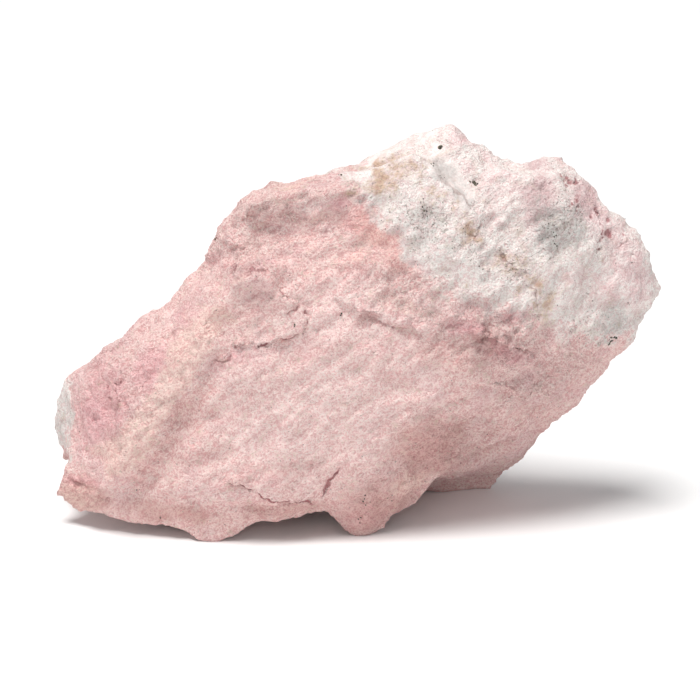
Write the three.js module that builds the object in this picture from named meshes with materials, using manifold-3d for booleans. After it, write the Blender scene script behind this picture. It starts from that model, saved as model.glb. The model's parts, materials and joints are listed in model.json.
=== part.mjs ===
// Rhodochrosite specimen: one broken piece of pale pink ore with a grey-white quartz end.
// Millimetres, +Z up, +X to the viewer's right, the broad fractured face towards -Y.
// The stone is one closed solid. The corners of its facets are joined into one skin, the skin is
// roughened as broken rock is, and the feet are worn level where the stone stands on them.

import * as THREE from 'three';
import { ConvexHull } from 'three/addons/math/ConvexHull.js';
import Module from 'manifold-3d';

// Driving dimensions
const STONE_WIDTH = 68.5;
const STONE_DEPTH = 24.5;
const STONE_HEIGHT = 45;

// Broken-rock roughness: how often each edge is halved, and the most its middle moves per length
const ROUGHENING_ROUNDS = 2;
const FACE_ROUGHNESS = 0.045;
const ROUGHNESS_SEED = 2718;

// How steeply the stone's long axis rises to the right
const LEAN = 0.23;

// The rim: the stone's outermost edge, anticlockwise as seen from the front, starting at its left end.
const RIM = [
  // the bared quartz at the left end
  [-32.5, 0.5, 15.5], [-34, 4, 11.5], [-34.5, 5, 8.5], [-33.5, 3, 5.5],
  // lower left corner
  [-32.5, -3, 5.5], [-33.5, -4.5, 3.5], [-32, -5, 2],
  // the front's lower edge, with a foot under its left part
  [-29, -6.5, 2], [-24.5, -8.5, 1.5], [-20.5, -9.5, 1.5], [-18, -10.5, 0.5], [-16, -10.5, -0.5],
  [-14, -10.5, 1],
  // the raised stretch between the two front feet
  [-10.5, -10, 2], [-7.5, -9.5, 2.5], [-5.5, -9, 3], [-3, -8.5, 2.5],
  // the right front foot
  [-1.5, -8.5, 0.5], [0.5, -8.5, -0.5], [3, -7.5, 0.5], [3.5, -7, 2], [6.5, -5, 3], [7, -3, 4],
  // the heel, which reaches back under the stone
  [8, 8.5, -0.5], [11.5, 7.5, -0.5], [15, 8, -0.5], [17.5, 6.5, 3],
  // the long slope up to the right end
  [19.5, 5, 6], [23.5, 2.5, 11], [27, 1.5, 15.5], [29, 1, 18], [31, 0, 21.5],
  // the right end
  [33.5, 0.5, 25], [34, 0.5, 26.5], [32.5, 0, 28], [32, -0.5, 30.5], [30.5, 0, 33], [29, 0, 34.5],
  [27, 0.5, 36], [24.5, 0.5, 39.5], [22.5, 1, 41.5],
  // the notch and the white peak
  [21, 0.5, 41], [18.5, 0.5, 40.5], [15.5, 0, 40.5], [15, 0.5, 41.5], [14, 0.5, 43], [12.5, 0.5, 43],
  [10.5, 1.5, 45], [8.5, 3.5, 43.5], [4.5, 5.5, 41], [2.5, 5.5, 40.5], [-0.5, 3.5, 39.5], [-5, 0, 39],
  // the brow's corner and the step under it
  [-9.5, -2.5, 38.5], [-11.5, -3.5, 38.5], [-13, -4, 37], [-14, -4, 36], [-13.5, -2.5, 35],
  // the long slope down to the left end
  [-15.5, 1, 32], [-17, 0, 29], [-18, -1, 28.5], [-21.5, -1.5, 25], [-24, -3, 21.5], [-26.5, -2, 21],
  [-29.5, -1, 18.5],
];

// Corners of the front's facets, region by region.
const FRONT = [
  // the lip of the brow, the hollow face under it and the foot of that face
  [-11.5, -7.5, 38], [-7.5, -8.5, 39.5], [-3, -8.5, 40], [0, -7, 40.5],
  [-12.5, -6.5, 36], [-10, -7, 36], [-5.5, -7.5, 36.5], [-2, -8, 36.5],
  [-13, -6, 34], [-10, -7.5, 34.5], [-5.5, -8.5, 34.5], [-2, -9, 34],
  // the valley above the raised flake, and the flake's edge
  [-14.5, -6, 31.5], [-12.5, -8, 32], [-10, -9, 33], [-6, -9.5, 32.5],
  [-12.5, -9.5, 31.5], [-10.5, -10.5, 32.5], [-8.5, -11, 32], [-6.5, -11, 30], [-5, -11, 28],
  [-7.5, -11.5, 26], [-11.5, -11.5, 25.5],
  // the crest between the main face and the left facet
  [-14, -10.5, 29], [-16, -10.5, 26.5], [-18, -11, 23], [-20, -10.5, 19.5], [-22.5, -10.5, 15.5],
  [-24.5, -10, 11.5], [-27, -9, 7], [-29.5, -7.5, 4],
  // the shallow trough to its right
  [-15, -10.5, 22.5], [-18, -10, 18], [-21, -9.5, 13], [-23, -9.5, 9], [-25, -8.5, 5],
  // the left facet, which turns back to the bared quartz
  [-17.5, -6, 28], [-20, -6.5, 24.5], [-23, -7, 21.5], [-27, -5, 19.5], [-22.5, -9, 19.5],
  [-26, -7.5, 16.5], [-29.5, -4.5, 16.5], [-29, -6.5, 12], [-26, -8.5, 12.5], [-30, -5.5, 8.5],
  [-31, -6, 5], [-31, -2, 16], [-31.5, -2.5, 12.5], [-31.5, -3, 9],
  // the main face
  [-1, -10.5, 30], [-11.5, -12, 20.5], [-4, -12, 20], [4.5, -11, 24.5], [-8, -12.5, 13],
  [-16, -11.5, 11.5], [-19.5, -11, 6.5], [0.5, -12, 15], [-12.5, -12, 7], [-16, -11.5, 3],
  [-6, -11.5, 7],
  // the crest on its right, and the facet that turns away below the crest
  [14, -10.5, 23], [9.5, -11, 18.5], [5, -11.5, 14.5], [-0.5, -11.5, 9], [-3, -10.5, 5],
  [8.5, -9, 13], [5, -9, 9], [7.5, -6.5, 8], [1.5, -10, 5], [0.5, -9.5, 2], [5, -7.5, 5],
  // low on the right, down to the heel
  [14, -8, 16], [12, -5, 9.5], [18, -6, 15], [21, -6.5, 19.5], [25.5, -5, 20.5], [10, -2, 6],
  [14, 1.5, 5],
  // above the main face
  [-0.5, -9.5, 32.5], [5, -9.5, 33], [5.5, -10, 29], [10.5, -10.5, 26.5],
  // the white lobe under the peak, and the smooth grey seam beside it
  [1.5, -5.5, 41.5], [4.5, -5, 42.5], [7.5, -5, 42], [9.5, -5.5, 40.5], [11.5, -6.5, 38],
  [13, -7, 36], [4, -7.5, 39.5], [7, -8, 38], [9.5, -8.5, 34.5], [12.5, -9.5, 32],
  [9, -3, 42.5], [10.5, -4, 40], [13, -5.5, 38],
  // the right lobe
  [11, -1.5, 43.5], [14, -3, 40.5], [16, -4.5, 38], [16, -7, 34], [16.5, -9, 29], [20.5, -3, 39.5],
  [22.5, -4.5, 37.5], [21, -6.5, 33.5], [25, -2.5, 37.5], [26, -4, 34], [29, -2.5, 31.5],
  [23, -6.5, 28.5], [28, -4, 27.5], [31, -2.5, 26.5], [22.5, -7.5, 24.5], [28, -4, 23], [18, -9, 25],
];

// Corners of the facets on the back and on the underside.
const BACK = [
  // the edge where the sides turn into the back, from the left end over the top to the right end
  [-31, 8, 7.5], [-31, 7.5, 11], [-29, 6.5, 14.5], [-24.5, 6, 17.5], [-19.5, 6.5, 22],
  [-15, 7, 26], [-11.5, 5.5, 30.5], [-9.5, 4.5, 34.5], [-5.5, 6, 36], [0, 8.5, 36.5],
  [5, 9, 38], [9.5, 7, 40.5], [14.5, 6, 37.5], [20.5, 6, 37.5], [24.5, 6, 34], [28.5, 6, 30],
  [30.5, 6.5, 26], [27.5, 7, 21.5], [23.5, 7.5, 17], [20, 9, 12], [17, 10, 6],
  // the sides, just behind the hollows of the rim
  [-30, 2.5, 16], [-25.5, 0.5, 20], [-22.5, 1.5, 22], [-19, 2.5, 25], [-16.5, 4, 28.5],
  [-12.5, 0.5, 34], [-8, 1.5, 36.5], [0.5, 6, 38.5], [6.5, 6.5, 40], [13, 2.5, 41.5],
  [16, 3, 39], [20, 3, 39.5], [25.5, 3, 36], [30.5, 3, 30.5], [32, 3.5, 27],
  // the spine, from the heel upwards
  [-3.5, 11, 4.5], [-6, 12, 11.5], [-2.5, 12.5, 19], [2.5, 11.5, 26], [6.5, 10.5, 33],
  // left of the spine
  [-26, 9, 9], [-19, 9.5, 8], [-12.5, 11, 7.5], [-25, 8, 14], [-19, 9.5, 15], [-12.5, 11.5, 15],
  [-15, 9, 21.5], [-9, 10.5, 23.5], [-9, 8.5, 30], [-2.5, 9.5, 31.5],
  // right of the spine
  [4.5, 12, 9], [12, 11, 8], [3.5, 12.5, 17], [10, 11.5, 15.5], [17, 9.5, 17], [11, 10.5, 23],
  [18, 9, 24.5], [12.5, 9.5, 30], [19, 8, 31], [24.5, 7.5, 28.5], [23.5, 8.5, 21.5], [13, 8.5, 35.5],
  // the heel's flat
  [-14, 9.5, -0.5], [-5, 11, -0.5], [4, 11, -0.5], [9.5, 11, -0.5], [13.5, 10.5, -0.5],
  [-13, 6, -0.5], [-8, 7.5, -0.5], [-2, 7, -0.5], [4, 7.5, -0.5],
  // the underside between the feet
  [-30, 0, 4], [-28, 5, 4.5], [-22, 7.5, 3.5], [-25, -3, 3], [-20, 1.5, 3], [-19, -5.5, 1.5],
  [-15, -6, 0.5], [-14, -1, 2], [-9.5, -5.5, 3], [-9, 0.5, 3], [-4.5, -6.5, 3.5], [-5, -2.5, 3.5],
  [-3.5, 2.5, 2.5], [-0.5, -5, 1], [2, -1.5, 2.5], [4, 3, 2],
];

// Numbers from 0 to 1 that are the same every time.
function seededNumbers(seed) {
  let state = seed;
  return () => {
    state = (state + 0x6d2b79f5) | 0;
    let mixed = Math.imul(state ^ (state >>> 15), 1 | state);
    mixed = (mixed + Math.imul(mixed ^ (mixed >>> 7), 61 | mixed)) ^ mixed;
    return ((mixed ^ (mixed >>> 14)) >>> 0) / 4294967296;
  };
}

// The way to a corner from the stone's middle, once the stone's long leaning shape is evened out to a ball.
function wayTo([x, y, z]) {
  const rise = z - STONE_HEIGHT / 2 - x * LEAN;
  const even = new THREE.Vector3(x / STONE_WIDTH, y / STONE_DEPTH, rise / STONE_HEIGHT);
  return even.normalize();
}

// Joins all corners into one closed skin: on the ball, the fattest triangles are the hull's.
function joinCorners(corners) {
  const ways = corners.map(wayTo);
  const numberOf = new Map(ways.map((way, i) => [way, i]));
  const hull = new ConvexHull().setFromPoints(ways);
  return hull.faces.map(({ edge }) => {
    const ends = [edge.head(), edge.next.head(), edge.tail()];
    return ends.map((end) => numberOf.get(end.point));
  });
}

// Unit normals at every corner, each the sum of its facets' own.
function cornerNormals(points, triangles) {
  const normals = points.map(() => new THREE.Vector3());
  for (const [a, b, c] of triangles) {
    const across = new THREE.Vector3().subVectors(points[b], points[a]);
    const facet = new THREE.Vector3().subVectors(points[c], points[a]);
    facet.crossVectors(across, facet);
    for (const corner of [a, b, c]) normals[corner].add(facet);
  }
  return normals.map((normal) => normal.normalize());
}

// Halves every edge and moves its middle in or out, so that flat facets break up as rock does.
function roughen(points, triangles, random) {
  const normals = cornerNormals(points, triangles);
  const finer = [...points];
  const middles = new Map();
  const middleOf = (a, b) => {
    const key = a < b ? `${a} ${b}` : `${b} ${a}`;
    if (!middles.has(key)) {
      const shift = (random() * 2 - 1) * FACE_ROUGHNESS * points[a].distanceTo(points[b]);
      const normal = new THREE.Vector3().addVectors(normals[a], normals[b]).normalize();
      const middle = new THREE.Vector3().lerpVectors(points[a], points[b], 0.5);
      middles.set(key, finer.length);
      finer.push(middle.addScaledVector(normal, shift));
    }
    return middles.get(key);
  };
  const smaller = triangles.flatMap(([a, b, c]) => {
    const [ab, bc, ca] = [middleOf(a, b), middleOf(b, c), middleOf(c, a)];
    return [[a, ab, ca], [ab, b, bc], [ca, bc, c], [ab, bc, ca]];
  });
  return [finer, smaller];
}

// A closed mesh of shared points as a solid that can be cut.
function solidFrom(wasm, positions, indices) {
  const mesh = new wasm.Mesh({
    numProp: 3,
    vertProperties: new Float32Array(positions),
    triVerts: new Uint32Array(indices),
  });
  return new wasm.Manifold(mesh);
}

// Everything below the standing surface, which wears the feet level.
function groundSolid(wasm) {
  const size = 2 * STONE_WIDTH;
  const ground = new THREE.BoxGeometry(size, size, size).translate(0, 0, -size / 2);
  const corners = [];
  const numbers = new Map();
  const place = ground.getAttribute('position');
  const indices = Array.from(ground.index.array, (i) => {
    const key = [place.getX(i), place.getY(i), place.getZ(i)].join(' ');
    if (!numbers.has(key)) {
      numbers.set(key, corners.length / 3);
      corners.push(place.getX(i), place.getY(i), place.getZ(i));
    }
    return numbers.get(key);
  });
  return solidFrom(wasm, corners, indices);
}

// The whole stone as one geometry, standing on z = 0 with its middle over the origin.
async function stoneGeometry() {
  const wasm = await Module();
  wasm.setup();
  const random = seededNumbers(ROUGHNESS_SEED);
  const corners = [...RIM, ...FRONT, ...BACK];
  let points = corners.map((corner) => new THREE.Vector3(...corner));
  let triangles = joinCorners(corners);
  for (let round = 0; round < ROUGHENING_ROUNDS; round += 1) {
    [points, triangles] = roughen(points, triangles, random);
  }
  const rock = solidFrom(wasm, points.flatMap((p) => p.toArray()), triangles.flat());
  const standing = rock.subtract(groundSolid(wasm)).getMesh();
  const geometry = new THREE.BufferGeometry();
  geometry.setAttribute('position', new THREE.BufferAttribute(standing.vertProperties, 3));
  geometry.setIndex(new THREE.BufferAttribute(standing.triVerts, 1));
  geometry.computeBoundingBox();
  const { min, max } = geometry.boundingBox;
  geometry.translate(-(min.x + max.x) / 2, -(min.y + max.y) / 2, 0);
  geometry.scale(
    STONE_WIDTH / (max.x - min.x),
    STONE_DEPTH / (max.y - min.y),
    STONE_HEIGHT / max.z,
  );
  geometry.computeVertexNormals();
  return geometry;
}

const palePinkStone = new THREE.MeshStandardMaterial({
  color: 0xdcb8b2,
  roughness: 0.9,
  metalness: 0,
  flatShading: true,
});

const group = new THREE.Group();
const stone = new THREE.Mesh(await stoneGeometry(), palePinkStone);
stone.name = 'rhodochrosite_stone';
group.add(stone);

export default group;
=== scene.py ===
# %% [markdown]
# # A pale pink stone, finished in Blender
#
# The object is one hand-sized piece of rhodochrosite: sugary pale pink rock with
# a cap of white and grey quartz at one end and a few dark sulphide grains. The
# packed CAD solid already holds its outline and its large facets. These cells
# give it the skin of the real stone, finer relief, cracks and pits, grains, and
# colour, and they set a table, lights and a camera.

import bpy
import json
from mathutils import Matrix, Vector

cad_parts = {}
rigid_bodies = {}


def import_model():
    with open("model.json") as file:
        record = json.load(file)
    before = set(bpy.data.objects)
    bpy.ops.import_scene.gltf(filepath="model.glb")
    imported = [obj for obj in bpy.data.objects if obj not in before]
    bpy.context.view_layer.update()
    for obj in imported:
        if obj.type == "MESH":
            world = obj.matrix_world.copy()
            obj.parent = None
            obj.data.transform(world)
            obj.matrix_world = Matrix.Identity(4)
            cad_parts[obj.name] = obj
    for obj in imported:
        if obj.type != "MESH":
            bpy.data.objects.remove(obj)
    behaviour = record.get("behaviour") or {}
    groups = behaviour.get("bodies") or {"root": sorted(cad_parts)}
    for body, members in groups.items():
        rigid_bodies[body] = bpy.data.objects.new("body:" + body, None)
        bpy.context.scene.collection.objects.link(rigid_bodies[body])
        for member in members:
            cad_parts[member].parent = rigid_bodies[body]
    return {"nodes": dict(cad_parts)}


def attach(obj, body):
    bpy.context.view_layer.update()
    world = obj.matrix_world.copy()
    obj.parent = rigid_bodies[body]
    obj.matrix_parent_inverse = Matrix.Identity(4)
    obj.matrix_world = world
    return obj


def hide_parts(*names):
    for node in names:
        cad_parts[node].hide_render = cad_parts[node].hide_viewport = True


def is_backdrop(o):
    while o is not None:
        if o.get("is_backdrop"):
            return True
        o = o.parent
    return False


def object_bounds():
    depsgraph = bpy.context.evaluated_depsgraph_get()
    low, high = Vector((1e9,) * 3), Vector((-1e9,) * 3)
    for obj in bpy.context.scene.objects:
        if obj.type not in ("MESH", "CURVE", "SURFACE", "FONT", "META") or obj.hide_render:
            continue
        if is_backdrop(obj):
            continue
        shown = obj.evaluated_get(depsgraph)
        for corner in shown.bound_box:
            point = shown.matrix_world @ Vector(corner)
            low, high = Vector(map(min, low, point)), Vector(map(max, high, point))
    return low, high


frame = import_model()
cad_low, cad_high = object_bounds()
print("CAD box in metres:", [round(v, 4) for v in cad_low], [round(v, 4) for v in cad_high])

# %% [markdown]
# ## Working in millimetres
#
# Blender's unit here is the metre, and the stone's cracks and grains are parts
# of a millimetre. One named value turns one into the other, so that every number
# below can be read off a ruler held against the stone: x to the right, z up, and
# y away from the viewer.

# %% Tools and units
import json
import math

import bmesh
import bpy
import numpy as np
from mathutils import Vector, noise

MM = 0.001
scene = bpy.context.scene
stone_low = np.array(cad_low) / MM
stone_high = np.array(cad_high) / MM
print("stone in mm:", np.round(stone_high - stone_low, 1))

# %% [markdown]
# ## Camera
#
# The stone is looked at from the front, a little from above, through a long lens
# that keeps its outline nearly free of perspective. The camera is placed by a
# target, a distance and an angle, which says the same as three coordinates and
# is easier to adjust.

# %% Camera
CAMERA_TARGET = Vector((-0.5, -2.5, 20.0)) * MM
CAMERA_DISTANCE = 420 * MM
CAMERA_ELEVATION = math.radians(18)
SENSOR_WIDTH = 36.0
FIELD_WIDTH = 78.05 * MM

camera_data = bpy.data.cameras.new("camera")
camera_data.sensor_width = SENSOR_WIDTH
camera_data.lens = SENSOR_WIDTH * CAMERA_DISTANCE / FIELD_WIDTH
camera_data.clip_start = 0.01
camera = bpy.data.objects.new("camera", camera_data)
back = Vector((0, -math.cos(CAMERA_ELEVATION), math.sin(CAMERA_ELEVATION)))
camera.location = CAMERA_TARGET + back * CAMERA_DISTANCE
camera.rotation_euler = (math.pi / 2 - CAMERA_ELEVATION, 0, 0)
scene.collection.objects.link(camera)
scene.camera = camera
print("lens in mm:", round(camera_data.lens, 1))

# %% [markdown]
# ## Table and light
#
# A pale stone on a white table is lit by a soft lamp that hangs high and a little
# to the left. It rakes down the face, so that small relief shows, and leaves a
# tight dark shadow under the belly. A weaker lamp in front opens the face, and a
# white world fills the rest, as the walls of a small light tent would. The
# Standard view transform keeps the white table white.

# %% Table and light
TABLE_SIZE = 3.0
LAMP_SIZE = 0.55
LAMP_PLACE = Vector((-0.17, -0.23, 1.21))
LAMP_POWER = 16.0
LAMP_COLOUR = (1.0, 0.985, 0.97)
SKY = 0.31
SKY_COLOUR = (0.94, 0.98, 1.0, 1.0)
TABLE_WHITE = (0.94, 0.94, 0.94, 1.0)
FRONT_PLACE = Vector((-0.12, -1.05, 0.42))
FRONT_SIZE = 0.40
FRONT_POWER = 1.45

scene.view_settings.view_transform = "Standard"

table_mesh = bpy.data.meshes.new("table")
half = TABLE_SIZE / 2
table_mesh.from_pydata(
    [(-half, -half, 0), (half, -half, 0), (half, half, 0), (-half, half, 0)], [], [(0, 1, 2, 3)]
)
table = bpy.data.objects.new("table", table_mesh)
scene.collection.objects.link(table)
table_paint = bpy.data.materials.new("white table")
table_paint.use_nodes = True
table_shader = table_paint.node_tree.nodes["Principled BSDF"]
table_shader.inputs["Base Color"].default_value = TABLE_WHITE
table_shader.inputs["Roughness"].default_value = 0.9
table_shader.inputs["Specular IOR Level"].default_value = 0.1
table_mesh.materials.append(table_paint)
table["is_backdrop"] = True

world = bpy.data.worlds.new("light tent")
world.use_nodes = True
world.node_tree.nodes["Background"].inputs["Color"].default_value = SKY_COLOUR
world.node_tree.nodes["Background"].inputs["Strength"].default_value = SKY
scene.world = world


def soft_lamp(name, place, size, power):
    """A square lamp that looks at the stone."""
    data = bpy.data.lights.new(name, "AREA")
    data.shape = "SQUARE"
    data.size = size
    data.energy = power
    data.color = LAMP_COLOUR
    lamp = bpy.data.objects.new(name, data)
    lamp.location = place
    lamp.rotation_mode = "QUATERNION"
    lamp.rotation_quaternion = (CAMERA_TARGET - place).to_track_quat("-Z", "Y")
    scene.collection.objects.link(lamp)


soft_lamp("overhead lamp", LAMP_PLACE, LAMP_SIZE, LAMP_POWER)
soft_lamp("front lamp", FRONT_PLACE, FRONT_SIZE, FRONT_POWER)
print("lamp above the table:", round(LAMP_PLACE.z, 2), "m")

# %% [markdown]
# ## The skin
#
# The CAD solid is a shell of flat triangles about a millimetre across, which is
# right for its weight and its collisions and too coarse for a close look. A copy
# of it is merged, because the frame's mesh is loose triangles, and voxel remesh
# lays an even skin over it, a third of a millimetre to the step. A light
# smoothing takes the old triangle edges out and leaves the facets.

# %% Skin over the CAD solid
MERGE_DISTANCE = 0.001
SKIN_STEP = 0.33
SMOOTHING_ROUNDS = 5


def new_object(name, mesh):
    made = bpy.data.objects.new(name, mesh)
    scene.collection.objects.link(made)
    return made


def settled(obj, name):
    """A plain mesh of what the object's modifiers make, with the modifiers gone."""
    seen = obj.evaluated_get(bpy.context.evaluated_depsgraph_get())
    mesh = bpy.data.meshes.new_from_object(seen)
    mesh.name = name
    obj.modifiers.clear()
    obj.data = mesh
    return mesh


stone_mesh = frame["nodes"]["rhodochrosite_stone"].data.copy()
stone_mesh.materials.clear()
merging = bmesh.new()
merging.from_mesh(stone_mesh)
bmesh.ops.remove_doubles(merging, verts=merging.verts, dist=MERGE_DISTANCE * MM)
merging.to_mesh(stone_mesh)
merging.free()

stone = new_object("rhodochrosite_surface", stone_mesh)
remesh = stone.modifiers.new("even skin", "REMESH")
remesh.mode = "VOXEL"
remesh.voxel_size = SKIN_STEP * MM
remesh.use_smooth_shade = True
smoothing = stone.modifiers.new("soften", "SMOOTH")
smoothing.factor = 0.5
smoothing.iterations = SMOOTHING_ROUNDS
stone_mesh = settled(stone, "even skin")
print("skin faces:", len(stone_mesh.polygons))

# %% [markdown]
# ## Where the stone is broken
#
# A broken rock isn't evenly rough. Its face has a flake that has half lifted, a
# brow, ledges and a few cracks, and they are what the eye recognises. They could
# be sculpted. Here each is a short drawn path in x and z, because a path
# can be moved and measured, and the back has simpler ones of its own. Four sorts
# of mark are enough. At a *step* the side to the right of the path stands proud,
# a *fold* is a soft ridge or trough, a *groove* is cut along its path, and a *pit*
# is cut at one point.

# %% Edges on the front
FLAKE_EDGE = [
    (-15.2, 29.6), (-14, 30.3), (-12, 31.2), (-11, 31.5), (-10, 31.5), (-9.5, 31), (-8.2, 29.9),
    (-7.8, 28.8), (-7.2, 28.2), (-6, 28.3), (-5.4, 27.6), (-5.1, 26.8), (-5.1, 25.6), (-5.7, 24.6),
    (-7.3, 23.9), (-8.3, 24), (-9.5, 23.5), (-10.8, 23.3), (-11.8, 22.9), (-13, 23), (-13.6, 23.6),
]
BROW = [
    (-1.2, 34.2), (-2.6, 35.4), (-4.4, 35.3), (-5.9, 36.0), (-7.5, 35.4), (-9.4, 36.0), (-10.6, 35.6),
    (-12, 35.9), (-13.6, 34.8),
]
LEDGE = [(8, 24.2), (6, 24.9), (4.9, 25.5), (3, 26), (1.5, 26.6), (-0.2, 27.3), (-2.6, 28.4)]
RIGHT_LEDGE = [
    (20, 21.4), (17.8, 22.1), (16.2, 22.8), (15.5, 23), (14.5, 23.5), (13.3, 24.2), (11.8, 25.6),
]
RIGHT_SHELF = [(26, 18.4), (22.5, 16.2), (18.5, 16.4), (14.5, 17.8), (11, 19.6)]
LOW_SLAB = [
    (-3.9, 4.8), (-5.5, 5), (-7.1, 5.1), (-8.5, 5.2), (-10.1, 5.8), (-12, 6.9), (-12.7, 7.4),
    (-14.5, 7.9),
]
LOW_SPLIT = [(-3.7, 4.6), (-3.5, 5.5), (-3.1, 6.9), (-2.4, 8.1), (-1.3, 9.7)]
QUARTZ_LOBE = [
    (8.0, 43.0), (9.3, 41.2), (10.5, 39.8), (12, 38.2), (13.4, 36.8), (13.7, 35.5), (13, 34.2),
]
CORNER_SHELF = [(-29.0, 5.1), (-31, 5.4), (-33, 5.7)]
CREST = [(-15.5, 25), (-17.3, 20.5), (-18.5, 18), (-20, 15.5), (-21.5, 12.8), (-23, 10), (-27, 7)]
CREST_TROUGH = [(-14.6, 21.5), (-16.5, 18), (-18.3, 15), (-20.5, 11.5), (-24, 7.2)]
print("the flake's edge has", len(FLAKE_EDGE), "corners")

# %% Steps and folds on the front
# path, rise and reach on the proud side, dip and reach on the other, width of the edge
STEPS = [
    (FLAKE_EDGE, 0.42, 1.5, 0.10, 0.9, 0.35),
    (BROW, 0.35, 2.4, 0.12, 1.6, 0.9),
    (LEDGE, 0.65, 2.8, 0.2, 1.6, 0.6),
    (RIGHT_LEDGE, 0.6, 2.2, 0.35, 1.2, 0.5),
    (RIGHT_SHELF, 0.55, 2.6, 0.25, 1.4, 0.6),
    (LOW_SLAB, 0.48, 2.0, 0.18, 1.0, 0.35),
    (LOW_SPLIT, 0.10, 1.8, 0.05, 0.8, 0.4),
    (QUARTZ_LOBE, 0.30, 2.0, 0.08, 1.0, 0.6),
    (CORNER_SHELF, 0.2, 1.5, 0.1, 0.8, 0.5),
]

# path, height (below 0 for a trough), width
FOLDS = [
    ([(-14.2, 37.2), (-12, 38.6), (-9, 39.5), (-6.5, 39.6)], 0.3, 1.2),
    ([(-8.6, 40.5), (-8.2, 38.6), (-7.6, 37)], 0.35, 0.8),
    ([(-5.8, 40.6), (-5.4, 39.2), (-5.6, 38)], -0.45, 0.9),
    ([(-11.2, 39.4), (-10.7, 38.2), (-10.8, 37)], -0.3, 0.7),
    ([(-3.6, 40.8), (-2.6, 39.4), (-3, 37.8)], 0.4, 0.9),
    ([(-13.8, 37.9), (-12.6, 38.2), (-11.4, 38.9)], 0.5, 0.7),
    ([(-2, 37.2), (0.5, 36.6), (2.4, 35.4)], 0.6, 1.4),
    (CREST, 0.9, 1.2),
    (CREST_TROUGH, -0.5, 1.3),
    ([(-14.2, 29.4), (-12.2, 30.5), (-10.5, 30.8), (-9.0, 29.9), (-8.2, 28.8)], 0.4, 0.6),
    ([(-13.4, 38.4), (-12.6, 36.9), (-12.9, 35.8)], 0.55, 0.9),
    ([(-11.9, 37.9), (-11.5, 36.8), (-11.8, 35.9)], -0.2, 0.6),
    ([(-9.3, 38.2), (-8.9, 37.0), (-9.4, 36.1)], 0.5, 0.8),
    ([(-7.2, 38.0), (-6.7, 37.0), (-7.1, 36.0)], -0.4, 0.6),
    ([(-4.9, 37.6), (-4.3, 36.6), (-4.8, 35.7)], 0.45, 0.8),
    ([(24, 12.5), (20, 10), (16.5, 9)], 0.5, 1.5),
    ([(15.5, 14.5), (12, 11.5), (10, 8)], -0.45, 1.2),
    ([(24.5, 22.5), (21, 20.4), (17, 19.4)], 0.35, 1.2),
    ([(-14.5, 31.2), (-12.5, 32), (-10, 32.9), (-7.5, 31.4)], -0.6, 0.9),
    ([(-12.5, 25.3), (-10.5, 27.2), (-8.5, 28)], -0.12, 2.0),
    ([(9.3, 16.5), (7, 15), (5.5, 13.5), (4, 12), (2.5, 10)], 0.25, 0.9),
    ([(5, 6.5), (6.6, 5.4)], 0.45, 1.3),
    ([(-12.2, 6.6), (-11, 6.2)], -0.5, 0.7),
    ([(13.2, 30.2), (15.6, 29.2)], -0.25, 0.8),
]
print("front:", len(STEPS), "steps and", len(FOLDS), "folds")

# %% Grooves and pits on the front
# path, width, depth, how dark its stain and painted shade are
GROOVES = [
    (FLAKE_EDGE[2:6], 0.15, 0.30, 0.7),
    (FLAKE_EDGE[6:9], 0.12, 0.22, 0.7),
    (FLAKE_EDGE[9:21], 0.11, 0.18, 0.9),
    (FLAKE_EDGE[13:16], 0.11, 0.18, 0.8),
    ([(-6, 27.9), (-6.5, 27.1), (-7.6, 26.7)], 0.12, 0.25, 0.6),
    ([(-9.2, 23.7), (-10.2, 23.2), (-11.0, 23.1)], 0.13, 0.24, 0.9),
    ([(-11.7, 22.9), (-13.1, 23.0), (-13.5, 23.7)], 0.12, 0.25, 0.6),
    ([(-13.1, 22.1), (-13.6, 21.4), (-14.3, 21.2), (-15.8, 21.1)], 0.13, 0.25, 0.6),
    (LOW_SLAB, 0.18, 0.28, 1.1),
    (LOW_SPLIT, 0.13, 0.13, 0.95),
    ([(15.2, 23.0), (17.2, 22.1), (19.4, 21.4)], 0.14, 0.25, 0.8),
    ([(21.8, 16.0), (18.6, 16.1), (15.2, 17.3)], 0.13, 0.22, 0.6),
    ([(-13.8, 31.0), (-13.2, 30.9), (-12.4, 31.7)], 0.14, 0.25, 0.8),
    ([(0.2, 27.0), (1.5, 26.3), (3, 25.6), (4.8, 25.1)], 0.25, 0.15, 0.35),
    ([(14, 23.6), (15.5, 22.8)], 0.25, 0.3, 0.6),
    ([(8.6, 41.6), (9.6, 40.3), (10.8, 39.0), (12.2, 37.9), (13.2, 36.6)], 0.12, 0.12, 0.4),
    ([(13.5, 36.4), (13.7, 35.4), (12.9, 34.4), (11.7, 34.8)], 0.12, 0.18, 0.5),
    ([(15.4, 32.8), (15.9, 32.6), (16.1, 31.9), (17, 31.4), (17.2, 30.8), (18.1, 30.3)], 0.13, 0.2, 0.6),
    ([(18.2, 30.6), (18.6, 29.2), (19.5, 28.6), (19.7, 27.4), (20.3, 25.9)], 0.12, 0.12, 0.3),
    ([(-32.6, 5.7), (-31, 5.3), (-29.4, 5.1)], 0.12, 0.10, 0.3),
    ([(30.2, 31.0), (30.1, 30.3), (30.0, 29.6)], 0.16, 0.45, 1.0),
]

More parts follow.
